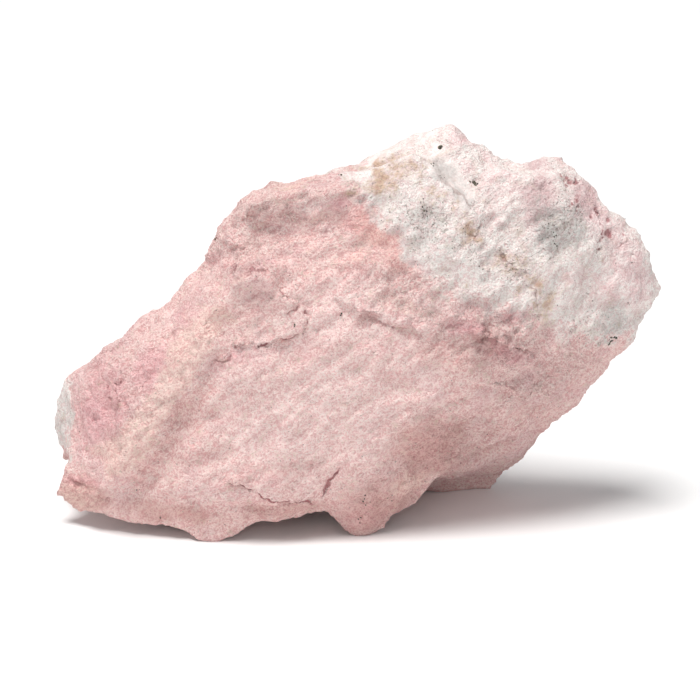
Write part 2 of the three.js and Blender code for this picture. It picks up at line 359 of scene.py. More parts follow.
# x, z, radius, depth, how dark its stain is
PITS = [
    (23, 39.5, 0.28, 0.28, 1), (23.5, 38.9, 0.25, 0.28, 1), (24.1, 38.9, 0.22, 0.24, 0.9),
    (24.1, 37.6, 0.22, 0.24, 0.9), (24.2, 36.9, 0.19, 0.24, 0.7), (26.6, 36, 0.25, 0.28, 1),
    (26, 35.3, 0.25, 0.24, 0.9), (27.5, 33.5, 0.31, 0.36, 1.2), (26.6, 33, 0.25, 0.28, 1),
    (26.4, 32.2, 0.22, 0.24, 0.9), (29, 32, 0.22, 0.24, 0.9), (29.6, 32.2, 0.19, 0.16, 0.7),
    (20.4, 38.6, 0.80, 0.35, 0.35), (21.6, 36.2, 0.70, 0.30, 0.1), (-24.9, 15.5, 0.25, 0.28, 0.9),
    (-26.3, 17.2, 0.28, 0.32, 0.9), (-26.8, 15.7, 0.25, 0.24, 0.7), (9.4, 43, 0.50, 0.40, 0.4),
    (13.2, 39.4, 0.55, 0.40, 0.3), (28.7, 21.3, 0.60, 0.30, 0.3), (12.9, 34.3, 0.31, 0.16, 0.5),
    (-23.9, 16.4, 0.25, 0.24, 0.8), (-24.6, 13.2, 0.19, 0.20, 0.6), (-28.9, 13, 0.19, 0.20, 0.5),
]
print("front:", len(GROOVES), "grooves and", len(PITS), "pits")

# %% The same marks on the back
BACK_STEPS = [
    ([(-21, 9), (-15, 14), (-9, 17.5), (-3, 22.5), (4, 26.5), (9, 31)], 0.9, 3.0, 0.35, 1.6, 0.6),
    ([(15, 12.5), (9, 11), (3, 7.5), (-3, 6.5)], 0.6, 2.4, 0.25, 1.3, 0.5),
    ([(-15, 26), (-9, 30), (-6, 34.5), (0, 36.5)], 0.7, 2.2, 0.3, 1.2, 0.5),
    ([(10, 23), (15, 26), (19, 25.5), (23, 28.5), (28, 28)], 0.7, 2.0, 0.3, 1.2, 0.6),
    ([(-30, 9), (-26, 13), (-22.5, 14), (-20, 18)], 0.45, 2.0, 0.2, 1.2, 0.5),
]
BACK_FOLDS = [
    ([(-27, 12), (-20, 18), (-12, 23)], 0.6, 1.8), ([(2, 14), (8, 18), (13, 21)], -0.5, 1.6),
    ([(-8, 8), (0, 12.5)], 0.5, 1.4), ([(14, 37), (18, 33), (20, 30)], -0.8, 1.8),
    ([(22, 37), (25, 32)], 0.5, 1.5), ([(-4, 27), (2, 33), (3, 38)], 0.45, 1.6),
    ([(-16, 5), (-11, 9.5), (-10, 14)], -0.5, 1.3), ([(-19, 23), (-13, 28), (-12, 33)], -0.45, 1.2),
]
BACK_GROOVES = [
    ([(-19, 10), (-15, 13.6), (-12.6, 15.4), (-9, 17.1)], 0.11, 0.15, 0.4),
    ([(10, 26), (8.6, 24.6), (6, 23.4), (5.0, 20.9), (3.6, 19.2), (1, 17.8)], 0.10, 0.16, 0.5),
    ([(-12.5, 25.5), (-11, 21.5), (-12, 18.5)], 0.10, 0.14, 0.4),
    ([(12, 11.4), (9, 10.5), (5, 8)], 0.10, 0.14, 0.4),
    ([(15, 36.5), (17.5, 34), (18, 31.5)], 0.12, 0.18, 0.4),
]
BACK_PITS = [
    (18.5, 33.2, 0.28, 0.3, 0.8), (20, 32.2, 0.3, 0.3, 0.7), (23.5, 30.6, 0.25, 0.28, 0.9),
    (-17, 16.5, 0.28, 0.28, 0.8), (-23, 12.3, 0.3, 0.3, 0.7), (5, 29.2, 0.5, 0.35, 0.2),
    (-5, 11.8, 0.5, 0.35, 0.2), (11, 15.6, 0.28, 0.28, 0.7),
]
print("back:", len(BACK_STEPS), "steps and", len(BACK_FOLDS), "folds")

# %% [markdown]
# ## Kinks and small pits
#
# A crack in a grainy rock runs round the grains, so it is never a smooth line, and
# a pit seldom comes alone. Drawing every kink by hand would be slow, so a random
# generator gives each stretch of a groove one kink, and each dark pit a few small
# ones around it. Its seed is fixed, so every run gives the same stone.

# %% Kinks in the grooves, small pits around the dark ones
CHIP_SEED = 42
KINK = 0.22
DARK_STAIN = 0.6
SMALL_PITS = 3
SMALL_PIT_SPREAD = 0.6
SMALL_PIT_RADIUS = (0.4, 0.8)
SMALL_PIT_DEPTH = 0.6
chips = np.random.default_rng(CHIP_SEED)


def jagged(path):
    """The path with a kink between every two of its corners."""
    kinked = [path[0]]
    for (x0, z0), (x1, z1) in zip(path[:-1], path[1:]):
        swing = chips.uniform(-KINK, KINK)
        kinked.append(((x0 + x1) / 2 + (z1 - z0) * swing, (z0 + z1) / 2 - (x1 - x0) * swing))
        kinked.append((x1, z1))
    return kinked


def with_small_pits(pits):
    """The pits, and after them the small ones around each dark pit."""
    small = []
    for pit_x, pit_z, radius, depth, stain in pits:
        for _ in range(SMALL_PITS if stain > DARK_STAIN else 0):
            near_x = pit_x + chips.normal(0, SMALL_PIT_SPREAD)
            near_z = pit_z + chips.normal(0, SMALL_PIT_SPREAD)
            share = chips.uniform(*SMALL_PIT_RADIUS)
            small.append((near_x, near_z, share * radius, SMALL_PIT_DEPTH * depth, stain))
    return pits + small


def carved_side(outward, steps, folds, grooves, pits):
    """All that is carved on one side, and which way along y that side faces."""
    kinked = [(jagged(path), width, depth, stain) for path, width, depth, stain in grooves]
    return outward, steps, folds, kinked, with_small_pits(pits)


FRONT, BACK = -1, 1
CARVED_SIDES = [
    carved_side(FRONT, STEPS, FOLDS, GROOVES, PITS),
    carved_side(BACK, BACK_STEPS, BACK_FOLDS, BACK_GROOVES, BACK_PITS),
]
print("pits on the front and back:", [len(pits) for *_, pits in CARVED_SIDES])

# %% [markdown]
# ## Measuring from a path
#
# Everything above needs the same three numbers for every point of the skin: how
# far it is from a path, on which side it lies, and how near it is to the path's
# ends, where a real crack dies out. A loop over the points would be slow, so
# numpy works them out for all points at once.


# %% Distance, side and fading
LONGEST_FADE = 1.5
FAR = 1e9


def smooth(low, high, value):
    """0 below low, 1 above high, and an even curve between them."""
    t = np.clip((value - low) / (high - low), 0, 1)
    return t * t * (3 - 2 * t)


def from_path(x, z, path):
    """Distance from the path, its side (1 right, -1 left), and a fading towards the path's ends."""
    nearest = np.full(len(x), FAR)
    side = np.ones(len(x))
    along = np.zeros(len(x))
    walked = 0.0
    for (x0, z0), (x1, z1) in zip(path[:-1], path[1:]):
        length = math.hypot(x1 - x0, z1 - z0)
        dx = (x1 - x0) / length
        dz = (z1 - z0) / length
        part = np.clip((x - x0) * dx + (z - z0) * dz, 0, length)
        away = np.hypot(x - x0 - part * dx, z - z0 - part * dz)
        closer = away < nearest
        nearest = np.where(closer, away, nearest)
        side = np.where(closer, np.sign((x - x0) * dz - (z - z0) * dx), side)
        along = np.where(closer, walked + part, along)
        walked += length
    fade_length = min(LONGEST_FADE, walked / 3)
    fading = smooth(0, fade_length, along) * smooth(0, fade_length, walked - along)
    return nearest, side, fading


away, side, fading = from_path(np.array([1.0]), np.array([4.0]), [(0, 0), (0, 9)])
print("a point right of a path: distance", away[0], "side", side[0], "fading", fading[0])


# %% Reading and moving the skin's points
def points_of(mesh):
    """Places and outward directions of a mesh's points, in millimetres."""
    place = np.empty(len(mesh.vertices) * 3)
    facing = np.empty(len(mesh.vertices) * 3)
    mesh.vertices.foreach_get("co", place)
    mesh.vertex_normals.foreach_get("vector", facing)
    return place.reshape(-1, 3) / MM, facing.reshape(-1, 3)


def move_points(mesh, place):
    mesh.vertices.foreach_set("co", (place * MM).ravel())
    mesh.update()


def evened(mesh, values, rounds):
    """The points' values, averaged with their neighbours' the given number of times."""
    ends = np.empty(len(mesh.edges) * 2, int)
    mesh.edges.foreach_get("vertices", ends)
    first, second = ends.reshape(-1, 2).T
    total = len(values)
    neighbours = np.bincount(first, minlength=total) + np.bincount(second, minlength=total)
    for _ in range(rounds):
        around = np.bincount(first, values[second], total) + np.bincount(second, values[first], total)
        values = 0.5 * values + 0.5 * around / neighbours
    return values


print("skin points:", len(points_of(stone_mesh)[0]))

# %% [markdown]
# ## A finer skin where it is needed
#
# A crack is narrower than the skin's step. Halving the step everywhere would
# give four times the faces, so only the faces near a groove or a pit are
# divided, as a modeller adds loops only where a detail goes.

# %% Divide the skin near the cracks
FINE_REACH = 0.55
PIT_MARGIN = 0.3
LEAST_FACING = 0.1

place, facing = points_of(stone_mesh)
x, z = place[:, 0], place[:, 2]
near = np.zeros(len(place), bool)
for outward, _, _, grooves, pits in CARVED_SIDES:
    here = np.zeros(len(place), bool)
    for path, *_ in grooves:
        here |= from_path(x, z, path)[0] < FINE_REACH
    for pit_x, pit_z, radius, *_ in pits:
        here |= np.hypot(x - pit_x, z - pit_z) < radius + PIT_MARGIN
    near |= here & (facing[:, 1] * outward > LEAST_FACING)

dividing = bmesh.new()
dividing.from_mesh(stone_mesh)
dividing.verts.ensure_lookup_table()
chosen = [e for e in dividing.edges if near[e.verts[0].index] and near[e.verts[1].index]]
bmesh.ops.subdivide_edges(dividing, edges=chosen, cuts=1, use_grid_fill=True)
bmesh.ops.triangulate(dividing, faces=dividing.faces)
dividing.to_mesh(stone_mesh)
dividing.free()
print("divided edges:", len(chosen), "- faces now:", len(stone_mesh.polygons))

# %% [markdown]
# ## Carving
#
# Each sort of mark has its own cross section. A step is proud at its edge and
# sinks back into the face over a few millimetres, a fold is a soft hump or
# hollow, and a groove or a pit is a narrow notch. The paths wander by part of a
# millimetre, because nothing on a broken stone is a straight line. What belongs
# to one side fades where the skin turns away from it. The stain in pits, and the
# dark line of each crack, partly red stain and partly painted shade inside it,
# are kept on the points for the material.


# %% Noise at the skin's points
def rough(place, size, offset):
    """Blender's own smooth noise, -1 to 1, with bumps of about the given size in mm."""
    shift = Vector((offset, offset * 0.7, -offset))
    return np.array([noise.noise(Vector(p) / size + shift) for p in place])


def layered(place, *layers):
    """The sum of several noises, each given by its height, its size and its offset."""
    return sum(height * rough(place, size, offset) for height, size, offset in layers)


WANDER = 0.32
FINE_WANDER = 0.6 * WANDER
place, facing = points_of(stone_mesh)
wander_x = layered(place, (WANDER, 1.3, 11.0), (FINE_WANDER, 0.5, 5.0))
wander_z = layered(place, (WANDER, 1.3, 23.0), (FINE_WANDER, 0.5, 31.0))
print("paths wander up to", round(abs(wander_x).max(), 2), "mm")

# %% Carve steps, folds, grooves and pits
FACES_THE_SIDE = 0.5
SHARE_ROUNDS = 30
CRACK_SHADE_REACH = (0.6, 0.35)

x = place[:, 0] + wander_x
z = place[:, 2] + wander_z
moved = place.copy()
stain_here = np.zeros(len(place))
gap_here = np.ones(len(place))
crack_shade_and_stain = np.zeros(len(place))
for outward, steps, folds, grooves, pits in CARVED_SIDES:
    share = evened(stone_mesh, smooth(0.0, FACES_THE_SIDE, facing[:, 1] * outward), SHARE_ROUNDS)
    height = np.zeros(len(place))
    side_gap = np.ones(len(place))
    side_crack_shade_and_stain = np.zeros(len(place))
    for path, rise, reach, dip, dip_reach, edge in steps:
        away, side, fading = from_path(x, z, path)
        across = smooth(-edge / 2, edge / 2, away * side)
        proud = rise * np.exp(-away / reach)
        sunk = -dip * np.exp(-away / dip_reach)
        height += fading * (across * proud + (1 - across) * sunk)
    for path, lift, width in folds:
        away, _, fading = from_path(x, z, path)
        height += lift * fading * np.exp(-((away / width) ** 2))
    for path, width, depth, stain in grooves:
        away, side, fading = from_path(x, z, path)
        height -= depth * fading * np.exp(-((away / width) ** 2))
        closer = away < np.abs(side_gap)
        side_gap = np.where(closer, away * side / width, side_gap)
        # the groove's dark line: partly red stain, partly painted shade inside the crack
        side_crack_shade_and_stain = np.where(closer, stain * fading * smooth(*CRACK_SHADE_REACH, away), side_crack_shade_and_stain)
    for pit_x, pit_z, radius, depth, stain in pits:
        away = np.hypot(x - pit_x, z - pit_z)
        hollow = np.exp(-((away / radius) ** 2))
        height -= depth * hollow
        stain_here = np.maximum(stain_here, stain * hollow * share)
    moved[:, 1] += outward * height * share
    gap_here = np.where(share > 0.5, side_gap, gap_here)
    crack_shade_and_stain = np.maximum(crack_shade_and_stain, side_crack_shade_and_stain * share)
    if outward == FRONT:
        front = share
    print("carved from", round(height.min(), 2), "to", round(height.max(), 2), "mm")

move_points(stone_mesh, moved)

# %% [markdown]
# ## Where the colours lie
#
# The pink body, the quartz cap, rust, and clear grey quartz each take a part of
# the stone. An artist would paint masks. Here each mask is a few soft ovals and
# stripes in x and z, listed one by one and wandering with the noise, and stored on
# the points as an attribute. Behind the front they drift by millimetres and come
# and go, because no patch in a rock runs straight through it. The material adds
# all the fine detail.

# %% Ovals of colour in the pink body
# x, z, half width, half height, turn in degrees, strength
ROSY = [
    (-27.8, 14.5, 3.4, 6.5, -25, 0.95), (-22.5, 19.5, 1.8, 3.2, -35, 0.85), (4.5, 31.5, 2.6, 1.2, 15, 0.4),
    (-18.6, 25.2, 1.2, 3.4, -30, 0.7), (-21.8, 20.2, 1.1, 3.2, -32, 0.9), (-2, 38, 1.9, 1.0, 10, 1.0),
    (0.4, 36.5, 3.2, 1.4, 5, 0.7), (4.2, 34.4, 2.0, 1.6, 0, 0.6), (6.6, 32, 1.1, 1.0, 0, 0.7),
    (-30, 5.9, 2.6, 0.8, 0, 0.8), (13.5, 26.6, 4.0, 1.3, -12, 0.5), (17.2, 26.0, 2.4, 1.3, -10, 0.7),
    (20.0, 37.4, 2.6, 3.0, -20, 1.0), (25.0, 37.6, 2.6, 2.6, 30, 0.8), (28.6, 32.8, 2.6, 2.8, 20, 0.6),
    (15.6, 38.3, 2.4, 1.0, -15, 0.5), (22.0, 41.2, 3.2, 1.0, 10, 0.4), (24.0, 29.0, 2.4, 2.0, 0, 0.3),
    (1, 2.6, 3.2, 2.4, 0, 0.45), (-7, 31.5, 3.5, 1.0, 20, 0.35), (-3.5, 23.5, 5, 1.0, 30, 0.25),
    (-17, 9.5, 3.0, 1.0, 30, 0.3), (4, 19.5, 4, 0.9, 20, 0.3), (8.4, 10.0, 2.0, 3.0, 0, 0.35),
    (-12.5, 21.8, 2.6, 0.9, 20, 0.6), (-5.2, 22.6, 1.6, 2.2, -20, 0.5), (-10.5, 31.6, 2.2, 0.8, 20, 0.6),
    (-9.5, 8.0, 3.4, 0.9, -15, 0.5), (-2.8, 7.2, 0.9, 2.6, -25, 0.5), (-27.5, 9.0, 3.0, 1.8, 20, 0.5),
    (12.2, 24.8, 3.4, 1.1, -20, 0.9), (16.8, 21.6, 3.0, 1.1, -15, 0.8), (-15.2, 30.8, 1.6, 0.7, 30, 0.6),
    (-0.6, 31.2, 2.8, 1.0, 15, 0.4), (1.5, 23.2, 2.6, 0.9, 25, 0.35), (-14, 14.5, 3.6, 0.8, 35, 0.35),
]
SALMON = [
    (2.4, 35.4, 4.0, 2.4, -35, 1.0), (-2.5, 36.6, 3.6, 1.2, 5, 0.6), (4.6, 32.2, 2.6, 1.6, -10, 0.7),
    (0.5, 32.6, 3.4, 1.6, 10, 0.5), (-6, 33.6, 4.0, 1.0, 5, 0.35), (9.8, 28.4, 2.6, 0.9, -15, 0.5),
]
BUFF = [
    (-31, 3.0, 3.0, 2.4, 0, 0.9), (6, 6, 1.9, 1.8, 0, 0.9), (-9, 38.6, 5.0, 0.9, 4, 0.6),
    (-28, 22.4, 3, 0.8, 20, 0.5), (5.5, 27.3, 5.5, 0.9, -18, 0.6), (0.6, 16.5, 4.5, 1.4, 30, 0.35),
    (-10, 17, 5, 1.6, 35, 0.35), (9.5, 28.6, 3.5, 0.8, -10, 0.4), (-12.5, 30.2, 2.4, 0.8, 20, 0.5),
    (-11, 2.4, 3.5, 1.4, 0, 0.3), (3.5, 10.5, 3, 1.2, 25, 0.35),
]
# the oval along the crest, at -21, 16.6, is painted light on the ridge's lit flank; the others are paler
# pink
PALE_AND_LIT = [
    (-4, 15, 15, 9.5, 33, 0.85), (-2, 26.5, 9, 4.5, 5, 0.75), (8, 27, 6, 3, -15, 0.6),
    (-21, 16.6, 10, 2.2, 57, 0.8), (-3.4, 37.6, 3.6, 1.5, 4, 1.0),
]
# the deep ovals are partly the stone's deeper pink and partly painted shade, on the brow's face, the
# bottom corner, the foot, the facet turned away to the right and the low face, where the surface faces
# down or away from the lamp
DEEP_AND_SHADE = [
    (-10.8, 36.8, 3.0, 1.6, 6, 0.35), (-30.5, 4, 3.5, 3, 0, 1.2), (3, 3, 5, 4.5, 0, 1.0),
    (8.5, 10, 4.5, 6, 30, 1.0), (15, 22.5, 4, 2.2, -20, 0.6), (10.5, 21.5, 5, 2.4, -15, 0.6),
    (-12, 31.5, 2.2, 0.9, 25, 0.5), (4, 31.5, 2.6, 2, 0, 0.2), (-20, 3.2, 7, 1.6, 0, 0.9),
    (-8, 3.6, 6, 1.4, 0, 0.9), (-10.2, 26.8, 3.2, 2.4, 20, 0.45), (-8, 9, 9, 1.6, 10, 0.55),
]
print("zones of the pink body:", len(ROSY + SALMON + BUFF + PALE_AND_LIT + DEEP_AND_SHADE), "ovals")

# %% Ovals of quartz, rust and rough ground
RUST = [
    (3.6, 40.8, 4.2, 1.1, 12, 0.95), (2.4, 41.1, 0.9, 0.6, 0, 1.2), (5.4, 41.6, 1.4, 0.7, 20, 1.0),
    (20.6, 26.2, 1.6, 2.4, 8, 0.7), (20.2, 31.2, 1.7, 1.2, 0, 0.6), (12.4, 34.7, 1.7, 1.1, 0, 0.75),
    (16.6, 31.6, 2.0, 1.2, -40, 0.7), (19.0, 29.3, 1.8, 1.2, -40, 0.5), (1.0, 39.6, 2.4, 0.8, 10, 0.7),
    (8.6, 39.4, 2.2, 0.9, -40, 0.6), (11.2, 37.4, 1.6, 0.9, -45, 0.55), (-6, 40.6, 5, 0.5, 6, 0.5),
]
GREY = [
    (7.6, 36.2, 3.0, 2.2, 30, 0.65), (9.4, 33.6, 2.0, 1.6, 0, 0.5), (22.3, 34.8, 3.2, 2.8, -25, 1.3),
    (20.2, 37.2, 1.7, 2.2, 0, 0.6), (28.3, 23.6, 1.7, 3.2, -15, 0.75), (24.6, 31, 1.6, 1.8, 0, 0.4),
    (-9.6, 26.2, 2.6, 1.6, 25, 0.45), (-6, 9.2, 1.6, 1.1, 30, 0.5), (-13.8, 5.2, 1.4, 0.9, 0, 0.45),
    (-21.5, 7.6, 2.2, 1.4, 30, 0.35), (-3, 40.3, 2, 0.9, 15, 0.4), (-18.5, 4.6, 1.7, 1.0, 10, 0.4),
    (-33, 10.5, 1.6, 4.6, 0, 0.45), (5, 39.3, 2.2, 1.0, 15, 0.35),
]
SPECKLED = [
    (7.4, 36.4, 3.4, 2.6, 20, 1.0), (22.5, 35.5, 3.2, 2.8, 0, 0.9), (17.4, 31, 2.4, 1.6, -40, 0.9),
    (11.8, 33.8, 2.0, 1.4, 0, 0.8), (3, 41, 3, 1.2, 20, 0.7), (26, 23.5, 2.4, 2.4, 0, 0.6),
    (13.5, 37.0, 1.6, 1.2, 0, 0.6), (-13.5, 33, 2, 1.2, 0, 0.5),
]
BLUSH = [
    (12.0, 44.2, 2.4, 1.6, -30, 0.9), (15.0, 41.4, 1.5, 1.9, 20, 0.8), (17.6, 40.3, 1.8, 0.9, 0, 0.7),
    (22.3, 41.6, 3.4, 1.1, 15, 0.8), (26.5, 36.2, 2.5, 4.0, 35, 0.8), (30.2, 29, 2.6, 4.8, 15, 0.8),
    (32.3, 27, 2.0, 1.5, 0, 0.5), (29, 33.5, 2.5, 2.0, -40, 0.5), (20.4, 38.6, 1.6, 1.5, 0, 0.7),
    (15.5, 36.5, 2.2, 1.8, 20, 0.45), (24, 29.5, 2.6, 1.6, 0, 0.45), (11.5, 41.3, 1.0, 1.8, 20, 0.6),
    (19.5, 41.0, 5.0, 1.4, 0, 0.8), (16, 39, 4, 1.6, -20, 0.5), (27.5, 27.5, 2.4, 3.2, 0, 0.6),
]
RUGGED = [
    (14, 25, 7, 3.5, -15, 1.0), (6, 29, 5, 2.5, -15, 0.7), (-12, 32, 4, 2, 20, 0.6),
    (-2, 38, 8, 2.5, 5, 0.5), (17, 33, 6, 5, -20, 0.6), (20, 17, 6, 4, 20, 0.8),
    (12, 10, 5, 4, 0, 0.7), (-26, 16, 6, 6, 0, 0.4), (-10, 37, 4.5, 2.4, 5, 0.8),
]
print("other zones:", len(RUST + GREY + SPECKLED + BLUSH + RUGGED), "ovals")

# %% Stripes of colour
# path, half width, strength
# the crest's left flank is partly buff and partly painted light, where the ridge faces the lamp
LIT_CREST_FLANK = [
    (-13, 27.5), (-16.6, 24.6), (-18.9, 20.6), (-20.4, 17.4), (-22.6, 14), (-24.8, 10.6), (-29, 7.6),
]
BUFF_AND_LIT_STRIPES = [(LIT_CREST_FLANK, 2.0, 1.0), ([(-13.6, 37.5), (-10, 39.6), (-4, 40.6)], 0.8, 0.8)]
GREY_STRIPES = [([(8.4, 42.6), (9.3, 41.3), (10.5, 39.9), (12.2, 38.1), (13.6, 37)], 1.0, 0.8)]
CLEAR_STRIPES = [
    ([(7.6, 43.6), (9.3, 41.6), (10.5, 40.0), (12.2, 38.3), (13.6, 37)], 1.0, 1.0),
    ([(-0.5, 41.2), (3, 42.4), (6, 43.4), (9, 44.2)], 0.8, 0.8),
]
print(len(BUFF_AND_LIT_STRIPES + GREY_STRIPES + CLEAR_STRIPES), "stripes")

# %% Let the zones wander
DRIFT = 2.6
DRIFT_SIZE = 6.5
PATCH_SIZE = 4.0
OVAL_EDGE = (1.55, 0.25)
STRIPE_EDGE = (1.3, 0.5)

place, facing = points_of(stone_mesh)
beyond = 1 - front
broad_x = layered(place, (0.9, 3.2, 3.0), (0.4, 0.9, 7.0))
broad_z = layered(place, (0.9, 3.2, 17.0), (0.4, 0.9, 19.0))
x = place[:, 0] + broad_x + DRIFT * beyond * rough(place, DRIFT_SIZE, 53.0)
z = place[:, 2] + broad_z + DRIFT * beyond * rough(place, DRIFT_SIZE, 59.0)
patchy = 1 - beyond * smooth(0.25, -0.25, rough(place, PATCH_SIZE, 61.0))


def ovals(rows):
    """The strongest of the soft ovals at each point."""
    total = np.zeros(len(x))
    for middle_x, middle_z, half_width, half_height, turn, strength in rows:
        c, s = math.cos(math.radians(turn)), math.sin(math.radians(turn))
        u = ((x - middle_x) * c + (z - middle_z) * s) / half_width
        v = ((z - middle_z) * c - (x - middle_x) * s) / half_height
        total = np.maximum(total, strength * smooth(*OVAL_EDGE, np.hypot(u, v)))
    return total * patchy


def stripes(rows):
    """The strongest of the soft stripes at each point."""
    total = np.zeros(len(x))
    for path, half_width, strength in rows:
        away, _, fading = from_path(x, z, path)
        total = np.maximum(total, strength * fading * smooth(*STRIPE_EDGE, away / half_width))
    return total * patchy


print("zones drift up to", round(DRIFT * abs(beyond).max(), 1), "mm off the front")


# %% Keep the zones on the points
def keep_on_points(mesh, name, values):
    layer = mesh.attributes.new(name, "FLOAT", "POINT")
    layer.data.foreach_set("value", values.astype(np.float32))


# The cap lies to the right of a line that leans and above a sill that dips. A slant is the long
# side of the slope's triangle, and dividing by it makes each sum a distance in millimetres.
CAP_CORNER = (7.3, 30.3)
CAP_LEAN, CAP_SLANT = 0.8, 1.28
SILL_CORNER = (7.7, 30.0)
SILL_DIP, SILL_SLANT = 0.4, 1.077
CAP_EDGE = (-1.6, 1.6)
SILL_EDGE = (-3.2, 2.6)
CAP_DRIFT_SIZE = 7.0
LEFT_END = -31.5
LEFT_FOOT = (6.6, 7.8)
LEFT_TOP = (16.8, 15.6)

cap_side = (x + CAP_LEAN * (z - CAP_CORNER[1]) - CAP_CORNER[0]) / CAP_SLANT
cap_sill = (z + SILL_DIP * (x - SILL_CORNER[0]) - SILL_CORNER[1]) / SILL_SLANT
cap_ragged = layered(place, (1.2, 2.6, 41.0), (0.7, 0.9, 47.0))
cap_ragged += 2 * DRIFT * beyond * rough(place, CAP_DRIFT_SIZE, 67.0)
cap = smooth(*CAP_EDGE, cap_side + cap_ragged) * smooth(*SILL_EDGE, cap_sill + cap_ragged)
left_end = smooth(-0.5, 0.5, LEFT_END - x) * smooth(*LEFT_FOOT, z) * smooth(*LEFT_TOP, z) * patchy
zones = {
    "quartz": np.maximum(cap, left_end), "rosy": ovals(ROSY), "salmon": ovals(SALMON),
    "buff": np.maximum(ovals(BUFF), stripes(BUFF_AND_LIT_STRIPES)), "rust": ovals(RUST),
    "grey": np.maximum(ovals(GREY), stripes(GREY_STRIPES)), "blush": ovals(BLUSH),
    "rugged": ovals(RUGGED), "speckled": ovals(SPECKLED), "pale": ovals(PALE_AND_LIT), "deep": ovals(DEEP_AND_SHADE),
    "clear": stripes(CLEAR_STRIPES), "stain": stain_here, "crack gap": gap_here,
    "crack shade and stain": crack_shade_and_stain,
}
for name, values in zones.items():
    keep_on_points(stone_mesh, name, values)
print("share of the skin that is quartz:", round(float(zones["quartz"].mean()), 2))

# %% [markdown]
# ## Writing node trees as sums
#
# Node trees built in a script are hard to read when every link is a line of its
# own. Here one small class stands for a socket and lets Python's signs add the
# Math nodes, and one method adds any other node. The same two serve the Geometry
# Nodes below and the materials after them.


# %% Sockets that can be added and multiplied
class Wire:
    """One output socket. Signs between wires and numbers add Math nodes."""

    def __init__(self, bench, socket):
        self.bench = bench
        self.socket = socket

    def maths(self, operation, first, second=0.0):
        return self.bench.node("ShaderNodeMath", {"operation": operation}, Value=first, Value_001=second)

    def __add__(self, other):
        return self.maths("ADD", self, other)

    def __sub__(self, other):
        return self.maths("SUBTRACT", self, other)

    def __rsub__(self, other):
        return self.maths("SUBTRACT", other, self)

    def __mul__(self, other):
        return self.maths("MULTIPLY", self, other)

    def __rtruediv__(self, other):
        return self.maths("DIVIDE", other, self)

    def __abs__(self):
        return self.maths("ABSOLUTE", self)

    __radd__ = __add__
    __rmul__ = __mul__

    def over(self, low, high):
        """0 where the value is low, 1 where it is high, with a smooth rise between them."""
        settings = {"interpolation_type": "SMOOTHSTEP"}
        ends = {"From Min": low, "From Max": high, "To Min": 0.0, "To Max": 1.0}
        return self.bench.node("ShaderNodeMapRange", settings, Value=self, **ends)


class Bench:
    """A node tree, and the one method that adds a node to it."""

    def __init__(self, tree):
        self.tree = tree

    def node(self, kind, settings=None, out=0, **sockets):
        made = self.tree.nodes.new(kind)
        for name, value in (settings or {}).items():
            setattr(made, name, value)
        for name, value in sockets.items():
            socket = next(s for s in made.inputs if name in (s.identifier, s.name))
            if isinstance(value, Wire):
                self.tree.links.new(value.socket, socket)
            else:
                socket.default_value = value
        if out is None:
            return made
        chosen = [s for s in made.outputs if s.enabled]
        return Wire(self, next((s for s in chosen if out in (s.identifier, s.name)), chosen[0]))

    def noise(self, place, size, detail, roughness=0.5):
        """Noise from 0 to 1 with bumps of about the given size in millimetres."""
        values = {"Scale": 1 / size, "Detail": detail, "Roughness": roughness}
        return self.node("ShaderNodeTexNoise", out="Fac", Vector=place, **values)

    def cells(self, place, size, out="Distance"):
        """Cells of about the given size in millimetres, as in packed sugar grains."""
        return self.node("ShaderNodeTexVoronoi", out=out, Vector=place, Scale=1 / size)

    def scaled(self, vector, factor):
        return self.node("ShaderNodeVectorMath", {"operation": "SCALE"}, Vector=vector, Scale=factor)

    def turned(self, place, angle, stretch):
        """Places turned about y by the angle and shortened along it, so that noise runs in streaks."""
        spin = self.node("ShaderNodeVectorRotate", {"rotation_type": "Y_AXIS"}, Vector=place, Angle=angle)
        squeeze = self.node("ShaderNodeCombineXYZ", X=1 / stretch, Y=1.0, Z=1.0)
        settings = {"operation": "MULTIPLY"}
        return self.node("ShaderNodeVectorMath", settings, Vector=spin, Vector_001=squeeze)

    def kept(self, name):
        """A value that is kept on the points, as Geometry Nodes read it."""
        settings = {"data_type": "FLOAT"}
        return self.node("GeometryNodeInputNamedAttribute", settings, out="Attribute", Name=name)


print("a bench can add:", [name for name in vars(Bench) if not name.startswith("_")])

# %% [markdown]
# ## Relief
#
# Between the cracks the face follows a rule: soft lumps, streaks and sharp ridges
# that all run the same way because the rock splits along its layers, and
# sugar-sized grain on top. Geometry Nodes pushes each point of the skin along its
# own direction by the sum of the four. It could be a sculpt or a displacement in
# the material, but as nodes it stays real geometry with named sizes that can be
# tuned. The relief dies out towards the table, so that the feet stay flat.


# %% A node group with named inputs
def new_group(name, inputs):
    """An empty Geometry Nodes tree, a bench for it, and a wire for each of its inputs."""
    group = bpy.data.node_groups.new(name, "GeometryNodeTree")
    group.interface.new_socket("Geometry", in_out="OUTPUT", socket_type="NodeSocketGeometry")
    for input_name, kind in {"Geometry": "Geometry", **inputs}.items():
        group.interface.new_socket(input_name, in_out="INPUT", socket_type="NodeSocket" + kind)
    bench = Bench(group)
    given = bench.node("NodeGroupInput", out=None)
    return group, bench, {s.name: Wire(bench, s) for s in given.outputs if s.name}


def finished(bench, geometry, material):
    """Ends a tree: instances become real geometry and get their material."""
    real = bench.node("GeometryNodeRealizeInstances", Geometry=geometry)
    painted = bench.node("GeometryNodeSetMaterial", Geometry=real, Material=material)
    bench.node("NodeGroupOutput", out=None, Geometry=painted)
    print(bench.tree.name, "has", len(bench.tree.nodes), "nodes")


